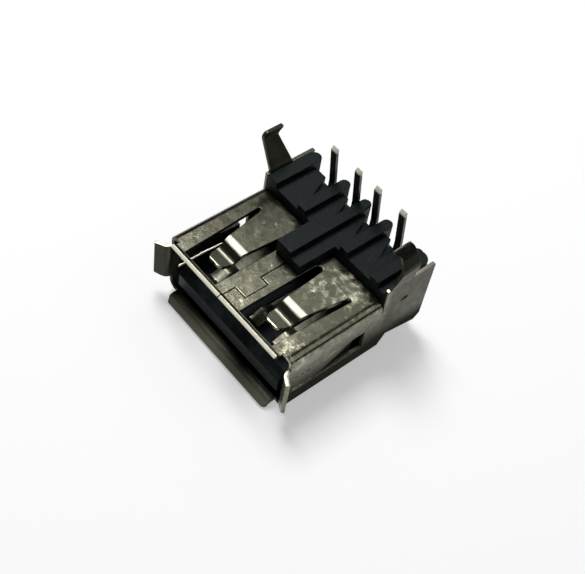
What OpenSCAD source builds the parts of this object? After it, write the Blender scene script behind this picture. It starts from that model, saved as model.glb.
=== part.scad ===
// USB-A socket for a circuit board, lying on its back with the board side up.
// X runs to the right seen from the mouth, Y runs into the socket and Z points to the board.
// The origin is the centre of the mouth, on the plane that cuts the flare of its lips.

/* [Shell] */
// Outer width of the shell
shell_w = 13.1; // [12.7:0.1:14]
// Outer height of the shell
shell_h = 5.72; // [5.5:0.02:6.4]
// Thickness of the folded sheet
sheet = 0.3; // [0.2:0.05:0.35]
// Outer radius of the four long bends
bend_r = 0.7; // [0.5:0.05:0.9]
// Distance from the front edge to the start of the flared lips
mouth_depth = 0.45; // [0.35:0.05:0.5]
// Distance from the front edge to the rear edge of the board-side face
face_len = 8.5; // [8.3:0.1:9]
// Distance from the front edge to the rear edge of the wings and the floor
shell_len = 13.05; // [12.8:0.05:14]
// Distance from the front edge to the end of the two bends along the floor
floor_bend_len = 9.1; // [9:0.05:9.4]
// Width of the floor behind the folded tube
floor_tail_w = 11; // [8:0.1:11.6]

/* [Lips of the mouth] */
// Width of the lip on the board side
board_lip_w = 11.2; // [8:0.1:11.4]
// Straight length of the board-side face between the folded tube and the bend of its lip
board_lip_flat = 0.28; // [0.26:0.01:0.35]
// Angle of the lip on the board side
board_lip_angle = 65; // [40:1:75]
// Bend radius of the lip on the board side, at the middle of the sheet
board_lip_r = 0.45; // [0.3:0.05:0.6]
// Width of the lip on the floor side
floor_lip_w = 11.2; // [8:0.1:11.4]
// Length of the chamfered ends of the floor lip
floor_lip_chamfer = 0.5; // [0.1:0.05:0.8]
// Straight length of the floor between the folded tube and the bend of its lip
floor_lip_flat = 0.25; // [0.1:0.05:0.4]
// Angle of the lip on the floor side
floor_lip_angle = 45; // [20:1:60]
// Straight length of the lip on the floor side
floor_lip_run = 0.35; // [0.1:0.05:0.8]
// Angle of the flanges on the two side walls
flange_angle = 60; // [30:1:75]
// Straight length of the side flanges
flange_run = 0.66; // [0.2:0.02:1]
// Distance of the side flanges below the board-side face
flange_drop = 1.05; // [0.9:0.05:1.2]
// Height of the side flanges
flange_h = 3.4; // [2:0.1:3.6]
// Radius of the lower front corner of the side flanges
flange_corner_r = 0.6; // [0.2:0.05:0.7]
// Bend radius of the flanges and the floor lip, at the middle of the sheet
flare_r = 0.6; // [0.4:0.05:0.8]

/* [Spring fingers] */
// Distance from the middle of the shell to the inner edge of a finger at its root
finger_root_x = 1.95; // [1.85:0.05:2.1]
// Width of a finger at its root
finger_root_w = 2.75; // [2.3:0.05:2.8]
// Distance from the middle of the shell to the inner edge of a finger at its tip
finger_tip_x = 2.33; // [2.2:0.01:2.5]
// Width of a finger at its tip
finger_tip_w = 1.6; // [1.5:0.05:1.8]
// Corner radius of the tip of a finger
finger_tip_r = 0.72; // [0.4:0.02:0.74]
// Distance from the front edge to the root of the fingers of the board-side face
finger_root_y = 6.8; // [6.7:0.05:7]
// Distance by which the fingers of the floor lie further back
floor_finger_shift = 0.85; // [0.6:0.05:0.9]
// Flat length of a finger, from its root to its bend
finger_flat = 3.25; // [2.8:0.05:3.3]
// Depth of the valley of a finger below its face
finger_dip = 0.45; // [0.3:0.01:0.55]
// Angle of the slope of a finger
finger_slope = 32; // [25:1:38]
// Bend radius at the top of the slope, at the middle of the sheet
finger_crest_r = 0.85; // [0.5:0.05:0.9]
// Bend radius in the valley, at the middle of the sheet
finger_valley_r = 0.25; // [0.2:0.01:0.4]
// Angle at which the tip of a finger rises again
finger_tip_angle = 8; // [2:1:14]
// Straight length of the tip of a finger
finger_tip_run = 0.85; // [0.6:0.05:0.9]
// Angle by which the end of the tip curls down
finger_curl = 40; // [15:1:50]
// Radius of the curl, at the middle of the sheet
finger_curl_r = 0.3; // [0.2:0.02:0.4]
// Distance from the middle of the shell to the inner edge of a finger's window
window_inner_x = 1.32; // [1.2:0.02:1.4]
// Distance from the middle of the shell to the outer edge of a window at its front
window_front_x = 4.7; // [4.4:0.05:4.9]
// Gap between a finger and the outer edge of its window, at the root
finger_outer_gap = 0.33; // [0.25:0.01:0.4]
// Distance from the front edge to the windows of the board-side face
board_window_y = 0.2; // [0.2:0.01:0.4]
// Distance from the front edge to the windows of the floor
floor_window_y = 1.95; // [1.7:0.05:2]

/* [Seam of the middle strip] */
// Width of the fine gap where the ends of the sheet meet
seam_gap = 0.06; // [0.04:0.01:0.12]
// Place of the seam at the front edge, left of the middle
seam_front_x = 0.4; // [0.2:0.05:0.9]
// Place of the side of the tab of the seam, right of the middle
seam_tab_x = 0.68; // [0.3:0.02:0.9]
// Place of the seam behind the tab, left of the middle
seam_rear_x = 0.1; // [0:0.05:0.6]
// Distance from the front edge to the tab
seam_tab_y = 1.15; // [0.8:0.05:2]
// Length of the tab
seam_tab_len = 1.95; // [1:0.05:2.5]

/* [Side springs] */
// Distance from the front edge to the window of a side spring
side_window_y = 1; // [0.8:0.1:1.5]
// Length of the window of a side spring
side_window_len = 6.25; // [5:0.05:6.5]
// Distance of the window below the board-side face
side_window_drop = 2.1; // [1.6:0.05:2.2]
// Height of the window of a side spring
side_window_h = 1.85; // [1.5:0.05:2.4]
// Gap along the two edges of a side spring
side_slot = 0.3; // [0.15:0.05:0.35]
// Flat length of a side spring before its bend
side_flat = 2.5; // [0.5:0.1:3]
// Inward angle of a side spring
side_angle = 4.5; // [2:0.5:8]
// Bend radius of a side spring, at the middle of the sheet
side_bend_r = 3; // [1:0.5:4]
// Gap behind the free end of a side spring
side_end_gap = 0.95; // [0.3:0.05:1.2]

/* [Rear wings] */
// Height of the wings above the board-side face
wing_rise = 1.26; // [1:0.02:1.6]
// Depth of the lower edge of the wings below the board-side face
wing_drop = 4.85; // [4.5:0.05:4.95]
// Depth of the lower edge of the wings at its front end
wing_front_drop = 4.2; // [3.9:0.05:4.4]
// Length of the slanting notch between the floor bends and the lower edge of the wings
wing_notch = 0.5; // [0.3:0.05:0.8]
// Slit between the rear edge of the face and the front edge of a wing
wing_slit = 0.1; // [0.08:0.01:0.3]
// Depth of the slit below the board-side face
wing_slit_depth = 1; // [0.95:0.05:1.5]
// Cut across the lower rear corner of the wings
wing_corner_cut = 0.5; // [0.2:0.05:1]
// Length of the oval dimple in a wing
dimple_len = 0.7; // [0.5:0.05:1]
// Width of the oval dimple in a wing
dimple_w = 0.36; // [0.2:0.02:0.45]
// Depth of the dimple
dimple_depth = 0.12; // [0.06:0.02:0.16]
// Distance of the dimple behind the front edge of the wing
dimple_y = 1.95; // [1.5:0.05:2.5]
// Depth of the dimple below the board-side face
dimple_drop = 0.73; // [0.5:0.01:1]

/* [Board legs] */
// Distance from the front edge of a wing to its leg
leg_setback = 0.25; // [0.1:0.01:0.6]
// Width of a leg at its root
leg_root_w = 2.08; // [1.8:0.02:2.6]
// Width of a leg at its neck, under the barb
leg_neck_w = 1.3; // [1.1:0.05:1.5]
// Width of a leg at its tip, with the barb
leg_tip_w = 1.75; // [1.6:0.05:2]
// Height of the barb, from the neck to the tip
leg_barb_h = 0.55; // [0.4:0.05:0.7]
// Height of the blunt end of the barb
leg_barb_edge = 0.2; // [0.1:0.05:0.3]
// Radius of the corner of the tip opposite the barb
leg_tip_r = 0.45; // [0.2:0.05:0.6]
// Bend radius of a leg, at the middle of the sheet
leg_bend_r = 0.5; // [0.3:0.05:0.6]
// Angle by which the left leg is splayed outward
left_leg_splay = 27; // [5:1:35]
// Straight length of the lower part of the left leg
left_leg_lower = 2.32; // [1.8:0.02:2.8]
// Angle by which the tip of the left leg is bent back
left_leg_kink = 27; // [10:1:40]
// Straight length of the tip of the left leg
left_leg_tip = 0.34; // [0.3:0.02:1.2]
// Angle by which the right leg is splayed outward
right_leg_splay = 9; // [2:1:20]
// Straight length of the lower part of the right leg
right_leg_lower = 1.4; // [1:0.05:1.8]
// Angle by which the tip of the right leg is bent inward
right_leg_kink = 51; // [30:1:55]
// Straight length of the tip of the right leg
right_leg_tip = 1.45; // [1:0.05:1.6]

/* [Insulator] */
// Clearance between the insulator and the shell
insulator_fit = 0.05; // [0.02:0.01:0.1]
// Height of the ribs above the board-side face
rib_top = 1.3; // [1.2:0.05:1.8]
// Depth of the bays between the ribs
bay_depth = 0.5; // [0.2:0.05:0.7]
// Width of the three middle ribs
rib_w = 0.84; // [0.6:0.02:0.9]
// Distance between the middle ribs
rib_pitch = 2.25; // [2.1:0.05:2.4]
// Offset of the rib pattern to the left
rib_shift = 0.25; // [0:0.05:0.3]
// Distance from the middle of the pattern to the inner side of an end rib
end_rib_x = 4.95; // [4.6:0.05:5.1]
// Distance from the middle of the pattern to the outer side of the right end rib
end_rib_outer_x = 5.78; // [5.5:0.02:5.9]
// Length of the rear part of the right end rib that reaches out to the wing
end_rib_wide_len = 1.9; // [1.2:0.05:2.4]
// Distance from the rear edge of the floor forward to the rear of the ribs
rib_rear_inset = 0; // [0:0.01:0.1]
// Distance that the ribs stand out behind the block
fin_depth = 0.77; // [0.6:0.01:1]
// Extra radius of the lower edges of the block, past the inner radius of the shell's bends
block_edge_relief = 0.1; // [0:0.05:0.4]
// Length of the nose in front of the block
nose_len = 3.21; // [2.5:0.01:3.5]
// Distance from the middle to the left side of the nose
nose_left = 1.25; // [1:0.05:1.3]
// Distance from the middle to the right side of the nose
nose_right = 1.22; // [1:0.02:1.3]

/* [Tongue] */
// Width of the tongue
tongue_w = 11.1; // [10.6:0.1:11.3]
// Thickness of the tongue
tongue_t = 1.84; // [1.7:0.02:2]
// Distance from the board-side face to the contact side of the tongue
tongue_drop = 2.94; // [2.8:0.02:3]
// Distance from the front edge to the front of the tongue
tongue_y = 0.48; // [0.4:0.02:0.8]
// Chamfer along the front edge of the tongue on its contact side
tongue_chamfer = 0.6; // [0.3:0.05:0.8]
// Chamfer along the other front edge of the tongue
tongue_low_chamfer = 0.1; // [0.05:0.05:0.4]

/* [Contacts] */
// Distance of the two inner contacts from the middle
inner_pin_x = 1; // [0.95:0.05:1.1]
// Distance of the two outer contacts from the middle
outer_pin_x = 3.5; // [3.4:0.05:3.6]
// Thickness of the contact strip
contact_t = 0.25; // [0.15:0.01:0.3]
// Width of the contact strip on the tongue
contact_w = 1; // [0.8:0.05:1.1]
// Width of the solder pins
pin_w = 0.56; // [0.4:0.02:0.64]
// Clearance between a contact and its channel
contact_fit = 0.04; // [0.02:0.01:0.06]
// Depth of the contact below the face of the tongue
contact_sink = 0.05; // [0:0.01:0.1]
// Distance from the front of the tongue to the contact
contact_setback = 1.5; // [1.2:0.05:1.8]
// Flat length of the front end of a contact
contact_toe = 0.3; // [0.1:0.05:0.6]
// Angle of the slopes of the hump of a contact
hump_angle = 18; // [8:1:25]
// Straight length of each slope of the hump
hump_run = 0.55; // [0.3:0.05:0.8]
// Bend radius of the hump, at the middle of the strip
hump_r = 0.5; // [0.3:0.05:0.8]
// Bend radius where the contact turns up behind the block, at the middle of the strip
tail_r = 0.35; // [0.25:0.05:0.6]
// Height of the pin tips above the board-side face
pin_top = 4.47; // [3.5:0.01:5.5]
// Angle by which the pins lean forward above the block
pin_lean = 8; // [0:0.5:10]
// Bend radius at the start of the lean, at the middle of the strip
pin_lean_r = 1; // [0.5:0.1:2]
// Length of the slanting cut at the pin tips
pin_tip_cut = 0.25; // [0.1:0.05:0.4]
// Length of the sloping recess behind each bay
recess_len = 2; // [1:0.1:2.5]
// Width of the sloping recess at the rear of a bay
recess_w = 0.85; // [0.7:0.05:1.2]
// Depth of the sloping recess at the rear of a bay
recess_depth = 0.6; // [0.3:0.05:1]

/* [Hidden] */
$fn = 64;

shell_colour = [0.62, 0.61, 0.55];
insulator_colour = [0.1, 0.12, 0.13];
contact_colour = [0.75, 0.68, 0.5];

// Cutting tools reach this far past what they cut.
past = 1;
// Rim of sheet by which an attached strip is let into what carries it.
lap = 0.2;
// Largest angle between two neighbouring facets of a bend.
bend_facet = 6;

half_w = shell_w/2;
wall_mid_x = half_w - sheet/2;
floor_z = -shell_h;

wing_y = face_len + wing_slit;
wing_rear_y = shell_len;

floor_root_y = finger_root_y + floor_finger_shift;
finger_root_outer_x = finger_root_x + finger_root_w;
window_rear_x = finger_root_outer_x + finger_outer_gap;
finger_inner_gap = finger_root_x - window_inner_x;
finger_slope_run = (finger_dip - (finger_crest_r + finger_valley_r)*(1 - cos(finger_slope)))
    / sin(finger_slope);
finger_len = finger_flat
    + (finger_crest_r + finger_valley_r)*sin(finger_slope)
    + finger_slope_run*cos(finger_slope)
    + (finger_valley_r + finger_curl_r)*sin(finger_tip_angle)
    + finger_tip_run*cos(finger_tip_angle)
    + (finger_curl_r + sheet/2)*sin(finger_curl - finger_tip_angle);

rib_rear_y = shell_len - rib_rear_inset;
block_edge_r = bend_r - sheet + block_edge_relief;
block_y = face_len + insulator_fit;
block_rear_y = rib_rear_y - fin_depth;
block_half_w = half_w - sheet - insulator_fit;
block_floor_z = floor_z + sheet + insulator_fit;
bay_z = rib_top - bay_depth;
tongue_z = -tongue_drop - tongue_t;

pin_places = [-outer_pin_x, -inner_pin_x, inner_pin_x, outer_pin_x];
contact_y = tongue_y + contact_setback;
contact_z = -tongue_drop - contact_sink - contact_t/2;
groove_floor_z = contact_z - contact_t/2 - contact_fit;
hump_len = contact_toe + 4*hump_r*sin(hump_angle) + 2*hump_run*cos(hump_angle);
tail_y = block_rear_y + contact_fit + contact_t/2;
strip_run = tail_y - tail_r - contact_y - hump_len;
tail_run = bay_z - contact_z - tail_r;
pin_run = (pin_top - bay_z - pin_lean_r*sin(pin_lean))/cos(pin_lean);

// Rectangle with round corners, centred on the origin
module rounded_rectangle(w, h, r) {
    square([w - 2*r, h], center = true);
    square([w, h - 2*r], center = true);
    for (sx = [-1, 1], sy = [-1, 1])
        translate([sx*(w/2 - r), sy*(h/2 - r)])
            circle(r);
}

// Middle line of a folded strip that sets off along +X, as points [x, y, heading]. Each step is a
// straight run, then a bend: [run, bend radius, angle], with positive angles to the left.
function strip_path(steps, x = 0, y = 0, heading = 0, i = 0) =
    i == len(steps) ? [] :
    let (
        run = steps[i][0],
        r = steps[i][1]*sign(steps[i][2]),
        turn = steps[i][2],
        facets = ceil(abs(turn)/bend_facet),
        bend_x = x + run*cos(heading),
        bend_y = y + run*sin(heading),
        end = heading + turn
    )
    concat(
        run > 0 ? [[bend_x, bend_y, heading]] : [],
        [
            for (k = [1:1:facets])
                let (h = heading + turn*k/facets)
                [bend_x + r*(sin(h) - sin(heading)), bend_y - r*(cos(h) - cos(heading)), h]
        ],
        strip_path(
            steps,
            bend_x + r*(sin(end) - sin(heading)),
            bend_y - r*(cos(end) - cos(heading)),
            end,
            i + 1
        )
    );

// Edge view of a folded strip of thickness t
module folded_strip(steps, t) {
    path = concat([[0, 0, 0]], strip_path(steps));
    last = len(path) - 1;
    polygon(concat(
        [for (p = path) [p[0] - t/2*sin(p[2]), p[1] + t/2*cos(p[2])]],
        [for (i = [last:-1:0]) let (p = path[i]) [p[0] + t/2*sin(p[2]), p[1] - t/2*cos(p[2])]]
    ));
}

// Turns a drawing made in (Y, Z) into a solid that runs along X from x0 to x1
module across(x0, x1) {
    translate([x0, 0, 0])
        rotate([90, 0, 90])
            linear_extrude(x1 - x0)
                children();
}

// Turns a drawing made in (X, Z) into a solid that runs along Y from y0 to y1
module along(y0, y1) {
    translate([0, y1, 0])
        rotate([90, 0, 0])
            linear_extrude(y1 - y0)
                children();
}

// Turns a drawing made in (X, Y) into a solid that runs along Z from z0 to z1
module upright(z0, z1) {
    translate([0, 0, z0])
        linear_extrude(z1 - z0)
            children();
}

module both_sides() {
    for (side = [0, 1])
        mirror([side, 0, 0])
            children();
}

// Copies what is on the board-side face to the floor
module on_floor() {
    translate([0, 0, floor_z])
        mirror([0, 0, 1])
            children();
}

// Section of the folded tube
module tube_section() {
    translate([0, floor_z/2])
        difference() {
            rounded_rectangle(shell_w, shell_h, bend_r);
            rounded_rectangle(shell_w - 2*sheet, shell_h - 2*sheet, bend_r - sheet);
        }
}

// Folded tube that takes the plug, with its floor bends run on past the rear edge of the face
module tube() {
    along(mouth_depth, face_len)
        tube_section();
    along(face_len - lap, floor_bend_len)
        intersection() {
            tube_section();
            translate([-shell_w/2, floor_z])
                square([shell_w, bend_r]);
        }
}

// Opening around one spring finger, from front_y to the round ends of its slots
module finger_window(front_y, root_y) {
    inner_r = finger_inner_gap/2;
    outer_r = finger_outer_gap/2;
    upright(-sheet - past, past) {
        polygon([
            [window_inner_x, front_y],
            [window_front_x, front_y],
            [window_rear_x, root_y],
            [window_inner_x, root_y]
        ]);
        translate([window_inner_x + inner_r, root_y])
            circle(inner_r);
        translate([window_rear_x - outer_r, root_y])
            circle(outer_r);
    }
}

// Plan of a finger from its root, on the X axis, towards its tip
module finger_plan() {
    tip_y = finger_tip_r - finger_len;
    polygon([
        [finger_root_x, lap],
        [finger_root_x, 0],
        [finger_tip_x, tip_y],
        [finger_tip_x + finger_tip_w, tip_y],
        [finger_root_outer_x, 0],
        [finger_root_outer_x, lap]
    ]);
    for (x = [finger_tip_r, finger_tip_w - finger_tip_r])
        translate([finger_tip_x + x, tip_y])
            circle(finger_tip_r);
    translate([finger_tip_x + finger_tip_r, -finger_len])
        square([finger_tip_w - 2*finger_tip_r, finger_tip_r]);
}

// Spring finger on the board-side face, right of the middle: a flat root, a slope down to a
// valley, a rising tip and a curled end
module finger(root_y) {
    steps = [
        [finger_flat + lap, finger_crest_r, finger_slope],
        [finger_slope_run, finger_valley_r, -finger_slope - finger_tip_angle],
        [finger_tip_run, finger_curl_r, finger_curl]
    ];
    translate([0, root_y, 0])
        intersection() {
            across(finger_root_x, finger_root_outer_x)
                translate([lap, -sheet/2])
                    rotate(180)
                        folded_strip(steps, sheet);
            upright(-finger_dip - sheet - past, past)
                finger_plan();
        }
}

// Fine gap where the two ends of the sheet meet in the middle strip: a tab of the left end is
// let into the right end
module seam() {
    tab_end_y = seam_tab_y + seam_tab_len;
    upright(-sheet - past, past) {
        translate([-seam_front_x, -past])
            square([seam_gap, seam_tab_y + seam_gap + past]);
        translate([-seam_front_x, seam_tab_y])
            square([seam_front_x + seam_tab_x + seam_gap, seam_gap]);
        translate([seam_tab_x, seam_tab_y])
            square([seam_gap, seam_tab_len + seam_gap]);
        translate([-seam_rear_x, tab_end_y])
            square([seam_rear_x + seam_tab_x + seam_gap, seam_gap]);
        translate([-seam_rear_x, tab_end_y])
            square([seam_gap, face_len - tab_end_y + past]);
    }
}

// Lip along the front of the board-side face, which turns its cut edge up
module board_lip() {
    across(-board_lip_w/2, board_lip_w/2)
        translate([mouth_depth, -sheet/2])
            rotate(180)
                folded_strip([[board_lip_flat, board_lip_r, -board_lip_angle]], sheet);
}

// Lip along the front of the floor, with chamfered ends
module floor_lip() {
    steps = [[floor_lip_flat, flare_r, floor_lip_angle], [floor_lip_run, 0, 0]];
    depth = floor_lip_flat + flare_r*sin(floor_lip_angle) + floor_lip_run + sheet;
    chamfer_y = mouth_depth - floor_lip_flat - flare_r*sin(floor_lip_angle);
    intersection() {
        across(-floor_lip_w/2, floor_lip_w/2)
            translate([mouth_depth, floor_z + sheet/2])
                rotate(180)
                    folded_strip(steps, sheet);
        upright(floor_z - depth, floor_z + depth)
            polygon([
                [-floor_lip_w/2, mouth_depth],
                [floor_lip_w/2, mouth_depth],
                [floor_lip_w/2, chamfer_y],
                [floor_lip_w/2 - floor_lip_chamfer, mouth_depth - depth],
                [-floor_lip_w/2 + floor_lip_chamfer, mouth_depth - depth],
                [-floor_lip_w/2, chamfer_y]
            ]);
    }
}

// Flange that flares outward from the right side wall
module side_flange() {
    steps = [[0, flare_r, flange_angle], [flange_run, 0, 0]];
    reach = flare_r*sin(flange_angle) + flange_run*cos(flange_angle) + sheet;
    low_z = -flange_drop - flange_h;
    intersection() {
        upright(low_z, -flange_drop)
            translate([wall_mid_x, mouth_depth])
                rotate(-90)
                    folded_strip(steps, sheet);
        across(0, shell_w)
            union() {
                translate([mouth_depth - reach + flange_corner_r, low_z])
                    square([reach - flange_corner_r, flange_h]);
                translate([mouth_depth - reach, low_z + flange_corner_r])
                    square([reach, flange_h - flange_corner_r]);
                translate([mouth_depth - reach + flange_corner_r, low_z + flange_corner_r])
                    circle(flange_corner_r);
            }
    }
}

// Window in the right side wall, around its spring
module side_window() {
    translate([0, side_window_y, -side_window_drop - side_window_h])
        cube([shell_w, side_window_len, side_window_h]);
}

// Spring of the right side wall, rooted at the front of its window and bent inward
module side_spring() {
    arc_len = side_bend_r*sin(side_angle);
    run = (side_window_len - side_end_gap - side_flat - arc_len)/cos(side_angle);
    steps = [[lap + side_flat, side_bend_r, side_angle], [run, 0, 0]];
    upright(-side_window_drop - side_window_h + side_slot, -side_window_drop - side_slot)
        translate([wall_mid_x, side_window_y - lap])
            rotate(90)
                folded_strip(steps, sheet);
}

// Side view of a wing: it runs on from the side wall, rises past the board-side face and has a
// slanting lower edge behind a notch
module wing_outline() {
    polygon([
        [face_len - past, -wing_slit_depth],
        [wing_y, -wing_slit_depth],
        [wing_y, wing_rise],
        [wing_rear_y, wing_rise],
        [wing_rear_y, -wing_drop + wing_corner_cut],
        [wing_rear_y - wing_corner_cut, -wing_drop],
        [floor_bend_len + wing_notch, -wing_front_drop],
        [floor_bend_len, floor_z + bend_r],
        [face_len - past, floor_z + bend_r]
    ]);
}

// Oval of the dimple, in side view
module dimple_outline(grow = 0) {
    translate([wing_y + dimple_y, -dimple_drop]) {
        square([dimple_len - dimple_w, dimple_w + 2*grow], center = true);
        for (side = [-1, 1])
            translate([side*(dimple_len - dimple_w)/2, 0])
                circle(dimple_w/2 + grow);
    }
}

// Right wing, with a dimple pressed inward
module wing() {
    difference() {
        union() {
            across(half_w - sheet, half_w)
                wing_outline();
            across(half_w - sheet - dimple_depth, half_w - sheet)
                dimple_outline();
        }
        across(half_w - dimple_depth, half_w + past)
            dimple_outline();
    }
}

// Side view of a leg, from its root on the wing: one edge is straight, the other slopes in to a
// neck and ends in a barb
module leg_outline(h) {
    polygon([
        [0, 0],
        [leg_root_w, 0],
        [leg_neck_w, h - leg_barb_h],
        [leg_tip_w, h - leg_barb_edge],
        [leg_tip_w, h],
        [leg_tip_r, h],
        [0, h - leg_tip_r]
    ]);
    translate([leg_tip_r, h - leg_tip_r])
        circle(leg_tip_r);
}

// Leg on the right wing, splayed outward at its root and bent back inward at its tip, with the
// barb to the rear
module leg(splay, lower, kink, tip) {
    steps = [[0, leg_bend_r, -splay], [lower, leg_bend_r, kink], [tip, 0, 0]];
    h = leg_bend_r*sin(splay)
        + lower*cos(splay)
        + leg_bend_r*(sin(splay) + sin(kink - splay))
        + tip*cos(kink - splay)
        + sheet/2*sin(abs(kink - splay));
    intersection() {
        along(0, leg_root_w)
            translate([wall_mid_x, 0])
                rotate(90)
                    folded_strip(steps, sheet);
        across(0, shell_w)
            leg_outline(h);
    }
}

// The two legs: the one on the left wing is the other one turned half round
module legs() {
    translate([0, wing_y + leg_setback, wing_rise]) {
        mirror([1, 0, 0])
            leg(left_leg_splay, left_leg_lower, left_leg_kink, left_leg_tip);
        translate([0, leg_root_w, 0])
            mirror([0, 1, 0])
                leg(right_leg_splay, right_leg_lower, right_leg_kink, right_leg_tip);
    }
}

// One folded sheet: tube, fingers, lips, side springs, floor, wings and legs
module shell() {
    color(shell_colour)
        translate([0, 0, shell_h/2]) {
            difference() {
                union() {
                    tube();
                    board_lip();
                }
                both_sides() {
                    finger_window(board_window_y, finger_root_y);
                    side_window();
                    on_floor()
                        finger_window(floor_window_y, floor_root_y);
                }
                seam();
            }
            floor_lip();
            both_sides() {
                finger(finger_root_y);
                on_floor()
                    finger(floor_root_y);
                side_flange();
                side_spring();
                wing();
            }
            translate([-floor_tail_w/2, face_len - lap, floor_z])
                cube([floor_tail_w, shell_len - face_len + lap, sheet]);
            legs();
        }
}

// Rib along the top of the block from y0, and down its back, with a round rear end
module rib(x0, x1, y0 = block_y) {
    w = x1 - x0;
    round_y = rib_rear_y - w/2;
    upright(block_floor_z + block_edge_r, rib_top) {
        translate([x0, y0])
            square([w, round_y - y0]);
        translate([x0 + w/2, round_y])
            circle(w/2);
    }
}

module ribs() {
    for (i = [-1, 0, 1])
        rib(i*rib_pitch - rib_shift - rib_w/2, i*rib_pitch - rib_shift + rib_w/2);
    rib(-block_half_w, -end_rib_x - rib_shift);
    rib(end_rib_x - rib_shift, end_rib_outer_x - rib_shift);
    rib(end_rib_x - rib_shift, block_half_w, rib_rear_y - end_rib_wide_len);
}

// Body of the block, with round lower edges
module block() {
    along(block_y, block_rear_y)
        union() {
            translate([-block_half_w, block_floor_z + block_edge_r])
                square([2*block_half_w, bay_z - block_floor_z - block_edge_r]);
            translate([-block_half_w + block_edge_r, block_floor_z])
                square([2*(block_half_w - block_edge_r), block_edge_r]);
            for (side = [-1, 1])
                translate([side*(block_half_w - block_edge_r), block_floor_z + block_edge_r])
                    circle(block_edge_r);
        }
}

// Nose over the middle strip: the middle rib runs forward on it, and its right part is lower
module nose() {
    translate([-nose_left, block_y - nose_len, insulator_fit])
        cube([nose_left + nose_right, nose_len + lap, bay_z - insulator_fit]);
    translate([-nose_left, block_y - nose_len, insulator_fit])
        cube([nose_left + rib_w/2 - rib_shift, nose_len + lap, rib_top - insulator_fit]);
}

// Tongue inside the mouth, with chamfered front edges
module tongue() {
    across(-tongue_w/2, tongue_w/2)
        polygon([
            [tongue_y + tongue_low_chamfer, tongue_z],
            [block_y + lap, tongue_z],
            [block_y + lap, -tongue_drop],
            [tongue_y + tongue_chamfer, -tongue_drop],
            [tongue_y, -tongue_drop - tongue_chamfer],
            [tongue_y, tongue_z + tongue_low_chamfer]
        ]);
}

// Room for one contact: a groove in the tongue, a slot through the block and a place for its pin
module contact_room(x) {
    room_w = contact_w + 2*contact_fit;
    pin_room_w = pin_w + 2*contact_fit;
    shoulder_y = block_y + lap + contact_fit;
    slot_h = contact_t + 2*contact_fit;
    translate([x - room_w/2, contact_y - contact_fit, groove_floor_z])
        cube([room_w, block_y - contact_y + contact_fit, past + tongue_t]);
    translate([x - room_w/2, block_y - contact_fit, groove_floor_z])
        cube([room_w, shoulder_y - block_y + contact_fit, slot_h]);
    translate([x - pin_room_w/2, shoulder_y - contact_fit, groove_floor_z])
        cube([pin_room_w, block_rear_y - shoulder_y + past, slot_h]);
    translate([x - pin_room_w/2, tail_y - tail_r, groove_floor_z])
        cube([pin_room_w, tail_r + past, slot_h + tail_r]);
    translate([x - pin_room_w/2, block_rear_y, groove_floor_z])
        cube([pin_room_w, fin_depth + past, rib_top - groove_floor_z + past]);
}

// Recess that slopes down behind a bay to the pin
module pin_recess(x) {
    intersection() {
        across(x - recess_w, x + pin_w)
            polygon([
                [block_rear_y - recess_len, bay_z],
                [block_rear_y + past, bay_z - recess_depth*(1 + past/recess_len)],
                [block_rear_y + past, rib_top + past],
                [block_rear_y - recess_len, rib_top + past]
            ]);
        upright(block_floor_z, rib_top + past)
            polygon([
                [x + pin_w/2, block_rear_y - recess_len],
                [x + pin_w/2, block_rear_y + past],
                [x + pin_w/2 - recess_w*(1 + past/recess_len), block_rear_y + past]
            ]);
    }
}

// One moulding: tongue, block, ribs and nose
module insulator() {
    color(insulator_colour)
        translate([0, 0, shell_h/2])
            difference() {
                union() {
                    block();
                    ribs();
                    nose();
                    tongue();
                }
                for (x = pin_places) {
                    contact_room(x);
                    pin_recess(x);
                }
                both_sides()
                    across(half_w - sheet - dimple_depth - insulator_fit, half_w)
                        dimple_outline(insulator_fit);
            }
}

// Edge view of a contact: toe, hump, strip through the block, tail and leaning pin
module contact_profile() {
    steps = [
        [contact_toe, hump_r, hump_angle],
        [hump_run, hump_r, -2*hump_angle],
        [hump_run, hump_r, hump_angle],
        [strip_run, tail_r, 90],
        [tail_run, pin_lean_r, pin_lean],
        [pin_run, 0, 0]
    ];
    translate([contact_y, contact_z])
        folded_strip(steps, contact_t);
}

// Slanting cut across the tip of a pin
module pin_tip_cut_outline() {
    tip_y = tail_y - pin_lean_r*(1 - cos(pin_lean)) - pin_run*sin(pin_lean);
    translate([tip_y, pin_top])
        rotate(90 + pin_lean)
            polygon([
                [0, -contact_t/2],
                [past, -contact_t/2],
                [past, contact_t/2 + past],
                [-pin_tip_cut*(1 + past/contact_t), contact_t/2 + past]
            ]);
}

// Stamped contact at place x: a wide strip on the tongue and a narrow pin behind the block
module contact(x) {
    color(contact_colour)
        translate([x, 0, shell_h/2])
            intersection() {
                across(-contact_w/2, contact_w/2)
                    difference() {
                        contact_profile();
                        pin_tip_cut_outline();
                    }
                upright(-shell_h, pin_top + past) {
                    translate([-contact_w/2, contact_y])
                        square([contact_w, block_y - contact_y + lap]);
                    translate([-pin_w/2, block_y])
                        square([pin_w, rib_rear_y - block_y]);
                }
            }
}

shell();
insulator();
contact(pin_places[0]);  // contact_1
contact(pin_places[1]);  // contact_2
contact(pin_places[2]);  // contact_3
contact(pin_places[3]);  // contact_4
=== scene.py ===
"""Finishes, stage and camera for a folded-shell USB-A socket, laid out as an add-on."""

import math
from types import SimpleNamespace

import bpy
from bpy.props import FloatProperty, FloatVectorProperty, PointerProperty
from bpy.types import Operator, Panel, PropertyGroup
from mathutils import Matrix, Vector


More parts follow.
